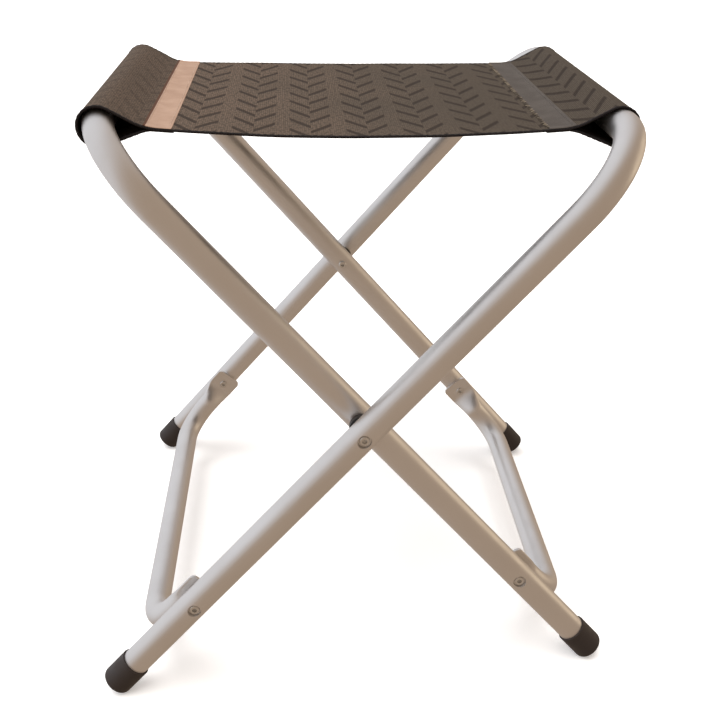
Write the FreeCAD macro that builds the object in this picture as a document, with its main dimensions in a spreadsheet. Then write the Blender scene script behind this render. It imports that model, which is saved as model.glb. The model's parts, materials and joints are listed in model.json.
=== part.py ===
import FreeCAD, Part
import math
import os
import Sketcher
from FreeCAD import Placement, Rotation, Vector

# Folding camp stool. Two bent-tube frames cross and turn on two pivots. The outer
# frame's legs run from the left feet up to the right bar, the inner frame's from the
# right feet up to the left bar. A fabric sling hangs between the bars and stops the
# frames from opening further.
# X: left to right across the sling. Y: front (negative) to back, along the bars.
# Z: up from the floor. The origin is on the floor under the middle of the stool.

# Driving dimensions, in millimetres and degrees.
DRIVING = {
    # frames
    "lean_angle": 48.8,             # legs above the floor, stool open
    "tube_radius": 11.0,
    "tube_wall": 1.2,
    "bar_reach": 277.0,             # pivot to the bar's centre, along the leg
    "foot_reach": 298.0,            # pivot to the end of the rubber foot
    "frame_bend": 60.0,             # centre-line radius between leg and bar
    "outer_half_depth": 192.0,      # mid-plane to the outer frame's leg centre
    "leg_gap": 3.0,                 # between an outer and an inner leg at the pivot
    # rubber feet
    "foot_radius": 12.3,
    "foot_length": 27.0,
    "foot_end_thickness": 5.0,
    "foot_rounding": 4.0,
    "foot_rim_rounding": 0.6,
    "foot_flat": 0.8,               # how deep the floor cuts a flat into the rubber
    # stretchers, one U-shaped tube inside each frame's legs
    "stretcher_radius": 10.0,
    "stretcher_wall": 1.2,
    "stretcher_reach": 253.0,       # pivot to the cross run, along the leg
    "stretcher_bend": 34.0,
    "stretcher_lead": 1.0,          # straight tube before the bend
    "squeeze_length": 20.0,         # from round tube to flat end
    "plate_thickness": 2.8,         # both walls pressed together
    "plate_width": 27.0,
    "plate_overhang": 11.5,         # past the rivet
    "plate_corner": 5.0,
    # rivets
    "rivet_reach": 195.0,           # pivot to the stretcher's rivet, along the leg
    "rivet_radius": 2.4,
    "pin_radius": 3.0,              # pivot rivet
    "pin_clearance": 0.06,          # in the inner frame's holes
    "rivet_head_radius": 3.9,
    "rivet_head_height": 1.5,
    "rivet_head_rounding": 1.0,
    "rivet_hollow_radius": 1.8,
    "rivet_hollow_depth": 3.0,
    # dimples in a leg's outside wall, which the rivets' factory heads sit in
    "dimple_radius": 5.4,
    "dimple_depth": 2.7,
    "dimple_slope": 14.0,           # how far its side leans in
    "dimple_floor": 1.2,
    # pivot spacers
    "spacer_radius": 10.0,
    "spacer_wrap": 1.6,             # how far the spacer saddles the outer leg
    "side_clearance": 0.3,          # between pieces that turn against each other
    # sling
    "seat_half_width": 126.0,
    "seam_reach": 32.5,             # bar's centre to the sleeve's seam
    "seam_drop": 2.5,               # bar's centre down to the seam
    "seat_sag": 3.9,                # seam down to the middle of the sling
    "cloth_thickness": 1.6,
    "sleeve_wall": 1.4,
    "sleeve_slack": 1.9,            # how far the sleeve hangs off the bar's centre
    "band_width": 20.0,
    "band_thickness": 0.8,
    "flap_thickness": 1.2,          # the sleeve's end, sewn on below the sling
    "hem_width": 8.0,
    "hem_thickness": 0.8,
    "middle_gap": 0.3,              # between the two halves of the sling
}


SQUEEZE_STEPS = 4               # sections from round tube to flat plate


def squeeze_sizes(size, step, tube_start):
    """The stretcher tube's outline part of the way from round to flat."""
    share = step / SQUEEZE_STEPS
    eased = share * share * (3 - 2 * share)
    round_width = 2 * size["stretcher_radius"]
    thickness = round_width + (size["plate_thickness"] - round_width) * eased
    width = round_width + (size["plate_width"] - round_width) * eased
    fold = thickness / 2 * (1 - 1.8 * share * (1 - share))
    edge = width / 2 - fold
    side = (edge ** 2 + thickness ** 2 / 4 - fold ** 2) / (thickness - 2 * fold)
    return {
        f"squeeze_{step}_start": tube_start - size["squeeze_length"] * share,
        f"squeeze_{step}_thickness": thickness,
        f"squeeze_{step}_fold": fold,
        f"squeeze_{step}_side": side,
        f"squeeze_{step}_edge": edge,
    }


def work_out(size):
    """The sizes that follow from the driving dimensions."""
    lean = math.radians(size["lean_angle"])
    rounding = size["foot_rounding"]
    lowest = (size["foot_reach"] - rounding) * math.sin(lean)
    lowest += (size["foot_radius"] - rounding) * math.cos(lean) + rounding
    pivot_height = lowest - size["foot_flat"]
    bar_x = size["bar_reach"] * math.cos(lean)
    bar_height = pivot_height + size["bar_reach"] * math.sin(lean)
    stretcher_start = size["stretcher_reach"] - size["stretcher_bend"] - size["stretcher_lead"]
    seam_x = bar_x - size["seam_reach"]
    seam_height = bar_height - size["seam_drop"]
    sag_radius = (seam_x ** 2 + size["seat_sag"] ** 2) / (2 * size["seat_sag"])
    inner_half_depth = size["outer_half_depth"] - 2 * size["tube_radius"] - size["leg_gap"]
    outer_face = size["outer_half_depth"] - size["tube_radius"]
    inner_face = inner_half_depth - size["tube_radius"]
    rivet_seat = 2 * size["tube_radius"] - size["dimple_depth"]
    pin_grip = size["leg_gap"] + 2 * size["tube_radius"] + size["side_clearance"]
    sleeve_bore = size["tube_radius"] + size["side_clearance"] + size["sleeve_slack"]
    squeezed = {}
    for step in range(1, SQUEEZE_STEPS):
        squeezed.update(squeeze_sizes(size, step, stretcher_start))
    return squeezed | {
        "pivot_height": pivot_height,
        "bar_x": bar_x,
        "bar_height": bar_height,
        "inner_half_depth": inner_half_depth,
        "tube_bore": size["tube_radius"] - size["tube_wall"],
        "leg_start": size["foot_end_thickness"] - size["foot_reach"],
        "foot_start": -size["foot_reach"],
        "foot_rim": size["foot_length"] - size["foot_reach"],
        "foot_socket": size["foot_length"] - size["foot_end_thickness"],
        "hole_length": size["tube_radius"],
        "running_radius": size["pin_radius"] + size["pin_clearance"],
        "stretcher_bore": size["stretcher_radius"] - size["stretcher_wall"],
        "stretcher_start": stretcher_start,
        "outer_stretcher_side": outer_face - size["stretcher_radius"],
        "inner_stretcher_side": inner_face - size["stretcher_radius"],
        "plate_start": size["rivet_reach"] - size["plate_overhang"],
        "plate_end": stretcher_start - size["squeeze_length"],
        "plate_length": stretcher_start - size["squeeze_length"]
        - size["rivet_reach"] + size["plate_overhang"],
        "plate_fold": size["plate_thickness"] / 2,
        "plate_edge": (size["plate_width"] - size["plate_thickness"]) / 2,
        "rivet_seat": rivet_seat,
        "rivet_top": rivet_seat + size["rivet_head_height"],
        "boss_radius": size["dimple_radius"] + size["dimple_floor"],
        "boss_depth": size["dimple_depth"] + size["dimple_floor"],
        "rivet_grip": size["plate_thickness"],
        "pin_grip": pin_grip,
        "spacer_height": size["leg_gap"] - size["side_clearance"] + size["spacer_wrap"],
        "spacer_cut_length": 4 * size["spacer_radius"],
        "seam_x": seam_x,
        "sag_radius": sag_radius,
        "sag_centre": seam_height - size["seat_sag"] + sag_radius,
        "band_x": seam_x - size["band_width"],
        "middle_x": size["middle_gap"] / 2,
        "sleeve_bore": sleeve_bore,
        "sleeve_radius": sleeve_bore + size["sleeve_wall"],
        "sleeve_x": bar_x - size["sleeve_slack"] * math.cos(lean),
        "sleeve_height": bar_height - size["sleeve_slack"] * math.sin(lean),
        "seam_height": seam_height,
        "sleeve_tip_top": seam_height + size["cloth_thickness"] / 2,
        "sleeve_tip_bottom": seam_height - size["cloth_thickness"] / 2 - size["flap_thickness"],
        "sleeve_mouth_x": seam_x + size["sleeve_wall"],
        "seat_width": 2 * size["seat_half_width"],
        "panel_top_radius": sag_radius - size["cloth_thickness"] / 2,
        "panel_bottom_radius": sag_radius + size["cloth_thickness"] / 2,
        "band_top_radius": sag_radius - size["cloth_thickness"] / 2 - size["band_thickness"],
        "flap_bottom_radius": sag_radius + size["cloth_thickness"] / 2 + size["flap_thickness"],
        "hem_bottom_radius": sag_radius + size["cloth_thickness"] / 2 + size["hem_thickness"],
        "hem_y": size["seat_half_width"] - size["hem_width"] / 2,
    }


SIZES = dict(DRIVING, **work_out(DRIVING))

document = FreeCAD.newDocument("camp_stool")
sheet = document.addObject("Spreadsheet::Sheet", "dims")
for row, (alias, number) in enumerate(SIZES.items(), start=1):
    sheet.set(f"A{row}", alias)
    sheet.set(f"B{row}", str(number))
    sheet.setAlias(f"B{row}", alias)
document.recompute()

parts = []          # the finished sub-parts, one per file


# ---------------------------------------------------------------- sketch helpers

def new_body(label):
    body = document.addObject("PartDesign::Body", label)
    body.Label = label
    return body


def new_sketch(body, name, role, offset=None):
    """A sketch on one of the body's own origin planes, moved along its normal by a cell."""
    sketch = body.newObject("Sketcher::SketchObject", name)
    plane = next(item for item in body.Origin.OriginFeatures if item.Role == role)
    sketch.AttachmentSupport = [(plane, "")]
    sketch.MapMode = "FlatFace"
    if offset:
        sketch.setExpression("AttachmentOffset.Base.z", offset)
    return sketch


def bind(sketch, constraint, expression):
    index = sketch.addConstraint(constraint)
    sketch.setExpression(f"Constraints[{index}]", expression)


def place_point(sketch, geometry, position, point, x_expression=None, y_expression=None):
    """Fixes a point of the sketch from the origin; a missing expression means on the axis."""
    if x_expression:
        along_x = Sketcher.Constraint("DistanceX", -1, 1, geometry, position, point.x)
        bind(sketch, along_x, x_expression)
    else:
        sketch.addConstraint(Sketcher.Constraint("PointOnObject", geometry, position, -2))
    if y_expression:
        along_y = Sketcher.Constraint("DistanceY", -1, 1, geometry, position, point.y)
        bind(sketch, along_y, y_expression)
    else:
        sketch.addConstraint(Sketcher.Constraint("PointOnObject", geometry, position, -1))


def add_circle(sketch, radius, x=None, x_sign=1, y=None):
    """A circle whose radius and centre come from cells."""
    centre = Vector(x_sign * SIZES[x] if x else 0, SIZES[y] if y else 0, 0)
    index = sketch.addGeometry(Part.Circle(centre, Vector(0, 0, 1), SIZES[radius]))
    bind(sketch, Sketcher.Constraint("Radius", index, SIZES[radius]), f"dims.{radius}")
    place_point(
        sketch, index, 3, centre,
        f"{x_sign} * dims.{x}" if x else None,
        f"dims.{y}" if y else None,
    )


def add_arc(sketch, centre, radius, start, end):
    circle = Part.Circle(centre, Vector(0, 0, 1), radius)
    return sketch.addGeometry(Part.ArcOfCircle(circle, start, end))


def add_line(sketch, start, end):
    return sketch.addGeometry(Part.LineSegment(start, end))


def join(sketch, kind, first, first_point, second, second_point):
    sketch.addConstraint(Sketcher.Constraint(kind, first, first_point, second, second_point))


def add_feature(body, kind, name, sketch, length=None, symmetric=False):
    feature = body.newObject(f"PartDesign::{kind}", name)
    feature.Profile = sketch
    if length:
        feature.setExpression("Length", f"dims.{length}")
    if symmetric:
        feature.SideType = "Symmetric"
    return feature


def round_edges(body, name, radius, chosen):
    """Fillets the edges of the body so far that chosen(edge) picks."""
    document.recompute()
    base = body.Tip
    names = [f"Edge{n}" for n, edge in enumerate(base.Shape.Edges, start=1) if chosen(edge)]
    fillet = body.newObject("PartDesign::Fillet", name)
    fillet.Base = (base, names)
    fillet.setExpression("Radius", f"dims.{radius}")


def finish_part(item, placement=None):
    if placement:
        item.Placement = placement
    parts.append(item)


def drill(body, name, radius, x, sign, depth, x_sign=1):
    """A cross hole through the tube wall at one side: x along the leg, depth from the mid-plane."""
    sketch = new_sketch(body, f"{name}_sketch", "XZ_Plane", f"{-sign} * ({depth})")
    add_circle(sketch, radius, x, x_sign)
    add_feature(body, "Pocket", name, sketch, "hole_length", symmetric=True)


def dimple(body, name, hole, x, sign, outside, x_sign=1):
    """A cup pressed into the tube's outside wall, with a hole through its floor."""
    boss = new_sketch(body, f"{name}_boss_sketch", "XZ_Plane", f"{-sign} * ({outside} - dims.boss_depth)")
    add_circle(boss, "boss_radius", x, x_sign)
    pressed = add_feature(body, "Pad", f"{name}_boss", boss)
    pressed.Type = "UpToFirst"
    pressed.Reversed = sign > 0
    cup = new_sketch(body, f"{name}_cup_sketch", "XZ_Plane", f"{-sign} * ({outside})")
    add_circle(cup, "dimple_radius", x, x_sign)
    pocket = add_feature(body, "Pocket", f"{name}_cup", cup, "dimple_depth")
    pocket.Reversed = sign > 0
    pocket.setExpression("TaperAngle", "-dims.dimple_slope")
    drill(body, f"{name}_hole", hole, x, sign, outside, x_sign)


def frame_rotation(name, down=False):
    """Turns local X along a frame's leg: towards its bar, or down towards its feet."""
    angle = -SIZES["lean_angle"] if name == "outer" else SIZES["lean_angle"] - 180
    return Rotation(Vector(0, 1, 0), angle + (180 if down else 0))


def at_pivot(y=0):
    return Vector(0, y, SIZES["pivot_height"])


# ---------------------------------------------------------------- bent tubes

def u_tube(body, start, reach, bend, half_depth, radius, bore):
    """A tube bent to a U in the local XY plane: two legs along X and a bar along Y."""
    path = new_sketch(body, "path", "XY_Plane")
    first, last = SIZES[start], SIZES[reach]
    curve, side = SIZES[bend], SIZES[half_depth]
    corner = last - curve
    add_line(path, Vector(first, -side, 0), Vector(corner, -side, 0))
    add_arc(path, Vector(corner, curve - side, 0), curve, -math.pi / 2, 0)
    add_line(path, Vector(last, curve - side, 0), Vector(last, side - curve, 0))
    add_arc(path, Vector(corner, side - curve, 0), curve, 0, math.pi / 2)
    add_line(path, Vector(corner, side, 0), Vector(first, side, 0))
    for piece in range(4):
        join(path, "Tangent", piece, 2, piece + 1, 1)
    for piece, kind in ((0, "Horizontal"), (2, "Vertical"), (4, "Horizontal")):
        path.addConstraint(Sketcher.Constraint(kind, piece))
    path.addConstraint(Sketcher.Constraint("Equal", 1, 3))
    bind(path, Sketcher.Constraint("Radius", 1, curve), f"dims.{bend}")
    bind(path, Sketcher.Constraint("DistanceX", -1, 1, 0, 1, first), f"dims.{start}")
    bind(path, Sketcher.Constraint("DistanceX", -1, 1, 4, 2, first), f"dims.{start}")
    bind(path, Sketcher.Constraint("DistanceX", -1, 1, 2, 1, last), f"dims.{reach}")
    bind(path, Sketcher.Constraint("DistanceY", 0, 1, -1, 1, side), f"dims.{half_depth}")
    bind(path, Sketcher.Constraint("DistanceY", -1, 1, 4, 2, side), f"dims.{half_depth}")

    section = new_sketch(body, "section", "YZ_Plane", f"dims.{start}")
    for size in (radius, bore):
        add_circle(section, size, half_depth, x_sign=-1)
    document.recompute()
    tube = body.newObject("PartDesign::AdditivePipe", "tube")
    tube.Profile = section
    tube.Spine = (path, [f"Edge{n}" for n in range(1, 6)])


def make_frame(name):
    """One leg frame. The outer one's pivot rivet is fixed, the inner one's runs in its holes."""
    body = new_body(f"{name}_frame")
    half_depth = f"{name}_half_depth"
    u_tube(body, "leg_start", "bar_reach", "frame_bend", half_depth, "tube_radius", "tube_bore")
    inside = f"dims.{half_depth} - dims.tube_radius"
    outside = f"dims.{half_depth} + dims.tube_radius"
    for sign, side in ((-1, "front"), (1, "back")):
        if name == "outer":
            drill(body, f"pivot_hole_{side}", "pin_radius", None, sign, inside)
            dimple(body, f"pivot_dimple_{side}", "pin_radius", None, sign, outside)
        else:
            drill(body, f"pivot_hole_{side}", "running_radius", None, sign, inside)
            drill(body, f"pivot_outer_hole_{side}", "running_radius", None, sign, outside)
        drill(body, f"rivet_hole_{side}", "rivet_radius", "rivet_reach", sign, inside, -1)
        dimple(body, f"rivet_dimple_{side}", "rivet_radius", "rivet_reach", sign, outside, -1)
    finish_part(body, Placement(at_pivot(), frame_rotation(name)))


# ---------------------------------------------------------------- stretchers

def round_section(body, name, offset, radius, centre, y_expression):
    """The round tube's outline as four arcs, two wide and two narrow, ready to be squeezed."""
    sketch = new_sketch(body, name, "YZ_Plane", offset)
    wide = math.radians(75)
    for start, end in ((-wide, wide), (wide, math.pi - wide)):
        for half_turn in (0, math.pi):
            add_arc(sketch, centre, SIZES[radius], start + half_turn, end + half_turn)
    order = (0, 2, 1, 3)
    for place in range(4):
        join(sketch, "Coincident", order[place], 2, order[(place + 1) % 4], 1)
    for arc in range(1, 4):
        join(sketch, "Coincident", 0, 3, arc, 3)
    bind(sketch, Sketcher.Constraint("Radius", 0, SIZES[radius]), f"dims.{radius}")
    place_point(sketch, 0, 3, centre, y_expression)
    return sketch


def oval_section(body, name, offset, step, centre, y_expression):
    """The half-squeezed tube's outline: two wide arcs joined by the two folds."""
    sketch = new_sketch(body, name, "YZ_Plane", offset)
    thickness, fold, side, edge = (
        SIZES[f"squeeze_{step}_{part}"] for part in ("thickness", "fold", "side", "edge")
    )
    back, up = Vector(side - thickness / 2, 0, 0), Vector(0, edge, 0)
    lean = math.atan2(edge, back.x)
    add_arc(sketch, centre - back, side, -lean, lean)
    add_arc(sketch, centre + up, fold, lean, math.pi - lean)
    add_arc(sketch, centre + back, side, math.pi - lean, math.pi + lean)
    add_arc(sketch, centre - up, fold, math.pi + lean, 2 * math.pi - lean)
    for arc in range(4):
        join(sketch, "Tangent", arc, 2, (arc + 1) % 4, 1)
    bind(sketch, Sketcher.Constraint("Radius", 0, side), f"dims.squeeze_{step}_side")
    bind(sketch, Sketcher.Constraint("Radius", 1, fold), f"dims.squeeze_{step}_fold")
    sketch.addConstraint(Sketcher.Constraint("Equal", 0, 2))
    sketch.addConstraint(Sketcher.Constraint("Equal", 1, 3))
    place_point(sketch, 1, 3, centre + up, y_expression, f"dims.squeeze_{step}_edge")
    place_point(sketch, 3, 3, centre - up, y_expression, f"-dims.squeeze_{step}_edge")
    return sketch


def flat_section(body, name, offset, centre, y_expression):
    """The pressed tube's outline: both walls together, with a fold along either edge."""
    sketch = new_sketch(body, name, "YZ_Plane", offset)
    fold, edge = SIZES["plate_fold"], SIZES["plate_edge"]
    across, up = Vector(fold, 0, 0), Vector(0, edge, 0)
    add_line(sketch, centre + across - up, centre + across + up)
    add_arc(sketch, centre + up, fold, 0, math.pi)
    add_line(sketch, centre - across + up, centre - across - up)
    add_arc(sketch, centre - up, fold, math.pi, 2 * math.pi)
    for piece in range(4):
        join(sketch, "Tangent", piece, 2, (piece + 1) % 4, 1)
    for line in (0, 2):
        sketch.addConstraint(Sketcher.Constraint("Vertical", line))
    bind(sketch, Sketcher.Constraint("Radius", 1, fold), "dims.plate_fold")
    place_point(sketch, 1, 3, centre + up, y_expression, "dims.plate_edge")
    bind(sketch, Sketcher.Constraint("DistanceY", 3, 3, -1, 1, edge), "dims.plate_edge")
    return sketch


def round_plate_end(body, name, sign, y_expression):
    """Cuts the two corners of the flat end to an arc."""
    sketch = new_sketch(body, f"{name}_sketch", "XZ_Plane", f"-({y_expression})")
    start, wide, corner = SIZES["plate_start"], SIZES["plate_width"] / 2, SIZES["plate_corner"]
    for up in (-1, 1):
        tip = Vector(start, up * wide, 0)
        along = Vector(start + corner, up * wide, 0)
        across = Vector(start, up * (wide - corner), 0)
        centre = Vector(start + corner, up * (wide - corner), 0)
        first = add_line(sketch, tip, along)
        second = add_line(sketch, across, tip)
        angles = (math.pi / 2, math.pi) if up > 0 else (math.pi, 3 * math.pi / 2)
        arc = add_arc(sketch, centre, corner, *angles)
        join(sketch, "Coincident", first, 1, second, 2)
        join(sketch, "Tangent", first, 2, arc, 1 if up > 0 else 2)
        join(sketch, "Tangent", second, 1, arc, 2 if up > 0 else 1)
        sketch.addConstraint(Sketcher.Constraint("Horizontal", first))
        sketch.addConstraint(Sketcher.Constraint("Vertical", second))
        bind(sketch, Sketcher.Constraint("Radius", arc, corner), "dims.plate_corner")
        place_point(sketch, first, 1, tip, "dims.plate_start", f"{up} * dims.plate_width / 2")
    add_feature(body, "Pocket", name, sketch, "hole_length", symmetric=True)


def make_stretcher(name):
    """A U of thinner tube inside the legs; its ends are pressed flat and riveted on."""
    body = new_body(f"{name}_stretcher")
    leg_face = SIZES[f"{name}_half_depth"] - SIZES["tube_radius"]
    leg_face_cell = f"dims.{name}_half_depth - dims.tube_radius"
    tube_side = f"{name}_stretcher_side"
    u_tube(
        body, "stretcher_start", "stretcher_reach", "stretcher_bend", tube_side,
        "stretcher_radius", "stretcher_bore",
    )
    for sign, side in ((-1, "front"), (1, "back")):
        def section_place(half_thickness, cell):
            centre = Vector(sign * (leg_face - half_thickness), 0, 0)
            return centre, f"{sign} * ({leg_face_cell} - {cell})"

        tube_place = section_place(SIZES["stretcher_radius"], "dims.stretcher_radius")
        plate_place = section_place(SIZES["plate_fold"], "dims.plate_fold")
        sections = [
            round_section(
                body, f"round_{side}", "dims.stretcher_start", "stretcher_radius", *tube_place,
            )
        ]
        for step in range(1, SQUEEZE_STEPS):
            cell = f"squeeze_{step}_thickness"
            place = section_place(SIZES[cell] / 2, f"dims.{cell} / 2")
            start = f"dims.squeeze_{step}_start"
            sections.append(oval_section(body, f"oval_{step}_{side}", start, step, *place))
        sections.append(flat_section(body, f"flat_{side}", "dims.plate_end", *plate_place))
        squeeze = body.newObject("PartDesign::AdditiveLoft", f"squeeze_{side}")
        squeeze.Profile = sections[0]
        squeeze.Sections = sections[1:]
        plate = flat_section(body, f"plate_{side}_sketch", "dims.plate_start", *plate_place)
        add_feature(body, "Pad", f"plate_{side}", plate, "plate_length")
        round_plate_end(body, f"plate_end_{side}", sign, plate_place[1])
        drill(body, f"rivet_hole_{side}", "rivet_radius", "rivet_reach", sign, leg_face_cell)
    finish_part(body, Placement(at_pivot(), frame_rotation(name, down=True)))


# ---------------------------------------------------------------- rivets and spacers

def add_disc(body, name, radius, top, length):
    """A round pad about local Y, from y = top towards negative Y."""
    sketch = new_sketch(body, f"{name}_sketch", "XZ_Plane", f"-({top})")
    add_circle(sketch, radius)
    add_feature(body, "Pad", name, sketch, length)


def make_rivet(label, shank, grip, position, faces_front):
    """A hollow rivet along local Y. Y = 0 is the outer leg's inner side; the set head is at -Y."""
    body = new_body(label)
    add_disc(body, "factory_head", "rivet_head_radius", "dims.rivet_top", "rivet_head_height")
    round_edges(
        body, "factory_rounding", "rivet_head_rounding",
        lambda edge: edge.CenterOfMass.y > SIZES["rivet_top"] - 0.01,
    )
    shank_sketch = new_sketch(body, "shank_sketch", "XZ_Plane", "-dims.rivet_seat")
    add_circle(shank_sketch, shank)
    shank_pad = add_feature(body, "Pad", "shank", shank_sketch)
    shank_pad.setExpression("Length", f"dims.rivet_seat + dims.{grip}")
    add_disc(body, "set_head", "rivet_head_radius", f"-dims.{grip}", "rivet_head_height")
    tail = -SIZES[grip] - SIZES["rivet_head_height"]
    round_edges(
        body, "set_rounding", "rivet_head_rounding",
        lambda edge: edge.CenterOfMass.y < tail + 0.01,
    )
    tail_cell = f"dims.{grip} + dims.rivet_head_height"
    for end, offset in (("factory", "-dims.rivet_top"), ("set", tail_cell)):
        hollow = new_sketch(body, f"{end}_hollow_sketch", "XZ_Plane", offset)
        add_circle(hollow, "rivet_hollow_radius")
        pocket = add_feature(body, "Pocket", f"{end}_hollow", hollow, "rivet_hollow_depth")
        pocket.Reversed = end == "factory"
    turn = Rotation(Vector(0, 0, 1), 180 if faces_front else 0)
    finish_part(body, Placement(position, turn))


def make_rivets():
    face = {name: SIZES[f"{name}_half_depth"] - SIZES["tube_radius"] for name in ("outer", "inner")}
    lean = math.radians(SIZES["lean_angle"])
    reach = SIZES["rivet_reach"]
    for sign, side in ((-1, "front"), (1, "back")):
        front = side == "front"
        make_rivet(f"pivot_rivet_{side}", "pin_radius", "pin_grip", at_pivot(sign * face["outer"]), front)
        for name, across in (("outer", -1), ("inner", 1)):
            foot_side = "left" if name == "outer" else "right"
            position = at_pivot(sign * face[name])
            position += Vector(across * reach * math.cos(lean), 0, -reach * math.sin(lean))
            label = f"stretcher_rivet_{side}_{foot_side}"
            make_rivet(label, "rivet_radius", "rivet_grip", position, front)


def make_spacer(side, sign):
    """A plastic disc between the legs, saddled onto the outer one."""
    body = new_body(f"pivot_spacer_{side}")
    add_disc(body, "disc", "spacer_radius", "dims.spacer_wrap", "spacer_height")
    saddle = new_sketch(body, "saddle_sketch", "YZ_Plane")
    add_circle(saddle, "tube_radius", "tube_radius")
    add_feature(body, "Pocket", "saddle", saddle, "spacer_cut_length", symmetric=True)
    bore = new_sketch(body, "bore_sketch", "XZ_Plane")
    add_circle(bore, "pin_radius")
    add_feature(body, "Pocket", "bore", bore, "spacer_cut_length", symmetric=True)
    face = SIZES["outer_half_depth"] - SIZES["tube_radius"]
    turn = frame_rotation("outer").multiply(Rotation(Vector(0, 0, 1), 180 if sign < 0 else 0))
    finish_part(body, Placement(at_pivot(sign * face), turn))


# ---------------------------------------------------------------- feet

def make_foot(label, name, sign):
    """A rubber cap over the tube's end, with the floor's flat cut into its lowest edge."""
    cap = new_body(f"{label}_cap")
    outside = new_sketch(cap, "outside_sketch", "YZ_Plane", "dims.foot_start")
    add_circle(outside, "foot_radius")
    add_feature(cap, "Pad", "outside", outside, "foot_length")
    start, rim = SIZES["foot_start"], SIZES["foot_rim"]
    round_edges(
        cap, "end_rounding", "foot_rounding", lambda edge: edge.CenterOfMass.x < start + 0.01,
    )
    round_edges(
        cap, "rim_rounding", "foot_rim_rounding", lambda edge: edge.CenterOfMass.x > rim - 0.01,
    )
    socket = new_sketch(cap, "socket_sketch", "YZ_Plane", "dims.foot_rim")
    add_circle(socket, "tube_radius")
    add_feature(cap, "Pocket", "socket", socket, "foot_socket")
    cap.Placement = Placement(at_pivot(sign * SIZES[f"{name}_half_depth"]), frame_rotation(name))
    document.recompute()

    floor = document.addObject("Part::Box", f"{label}_floor")
    for side in ("Length", "Width", "Height"):
        floor.setExpression(side, "6 * dims.foot_radius")
    middle = cap.Shape.BoundBox.Center
    half = 3 * SIZES["foot_radius"]
    floor.Placement = Placement(Vector(middle.x - half, middle.y - half, -2 * half), Rotation())
    foot = document.addObject("Part::Cut", label)
    foot.Label = label
    foot.Base = cap
    foot.Tool = floor
    finish_part(foot)


# ---------------------------------------------------------------- sling

# Each half of the sling is drawn for the right side and turned about Z for the left.
SIDE_TURN = {"right": 0, "left": 180}


def make_strip(label, side, inner_x, outer_x, top, bottom, y=None, y_sign=1, width="seat_width"):
    """A strip of cloth that follows the sling's sag, between two places across the seat."""
    turn = SIDE_TURN[side]
    body = new_body(label)
    offset = None
    if y:
        offset = f"{-y_sign if side == 'right' else y_sign} * dims.{y}"
    sketch = new_sketch(body, "profile", "XZ_Plane", offset)
    near, far, centre = SIZES[inner_x], SIZES[outer_x], Vector(0, SIZES["sag_centre"], 0)
    ends = []
    for radius in (bottom, top):
        size = SIZES[radius]
        low, high = -math.acos(near / size), -math.acos(far / size)
        arc = add_arc(sketch, centre, size, low, high)
        bind(sketch, Sketcher.Constraint("Radius", arc, size), f"dims.{radius}")
        place_point(sketch, arc, 3, centre, None, "dims.sag_centre")
        bind(sketch, Sketcher.Constraint("DistanceX", -1, 1, arc, 1, near), f"dims.{inner_x}")
        bind(sketch, Sketcher.Constraint("DistanceX", -1, 1, arc, 2, far), f"dims.{outer_x}")
        ends.append([
            Vector(near, centre.y - math.sqrt(size ** 2 - near ** 2), 0),
            Vector(far, centre.y - math.sqrt(size ** 2 - far ** 2), 0),
        ])
    for end in (0, 1):
        line = add_line(sketch, ends[0][end], ends[1][end])
        join(sketch, "Coincident", line, 1, 0, end + 1)
        join(sketch, "Coincident", line, 2, 1, end + 1)
    add_feature(body, "Pad", "cloth", sketch, width, symmetric=True)
    finish_part(body, Placement(Vector(0, 0, 0), Rotation(Vector(0, 0, 1), turn)))


def tangent_angles(centre, radius, upper_tip, lower_tip):
    """The angles about the centre where lines from the two tips touch the circle."""
    angles = []
    for tip, side in ((lower_tip, 1), (upper_tip, -1)):
        away = tip - centre
        towards = math.atan2(away.y, away.x)
        if towards < 0:
            towards += 2 * math.pi
        angles.append(towards + side * math.acos(radius / away.Length))
    return angles[0] - 2 * math.pi, angles[1]


def add_teardrop(sketch, radius, upper_tip, lower_tip, tip_cells):
    """Lines from the tip or tips, tangent to an arc around the bar."""
    centre, size = Vector(SIZES["sleeve_x"], SIZES["sleeve_height"], 0), SIZES[radius]
    start, end = tangent_angles(centre, size, upper_tip, lower_tip)
    arc = add_arc(sketch, centre, size, start, end)
    low, high = (
        centre + Vector(size * math.cos(angle), size * math.sin(angle), 0) for angle in (start, end)
    )
    upper = add_line(sketch, high, upper_tip)
    lower = add_line(sketch, lower_tip, low)
    join(sketch, "Tangent", arc, 2, upper, 1)
    join(sketch, "Tangent", lower, 2, arc, 1)
    bind(sketch, Sketcher.Constraint("Radius", arc, size), f"dims.{radius}")
    place_point(sketch, arc, 3, centre, "dims.sleeve_x", "dims.sleeve_height")
    place_point(sketch, upper, 2, upper_tip, *tip_cells[0])
    if upper_tip == lower_tip:
        join(sketch, "Coincident", upper, 2, lower, 1)
        return
    place_point(sketch, lower, 1, lower_tip, *tip_cells[1])
    closing = add_line(sketch, upper_tip, lower_tip)
    join(sketch, "Coincident", upper, 2, closing, 1)
    join(sketch, "Coincident", closing, 2, lower, 1)


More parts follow.
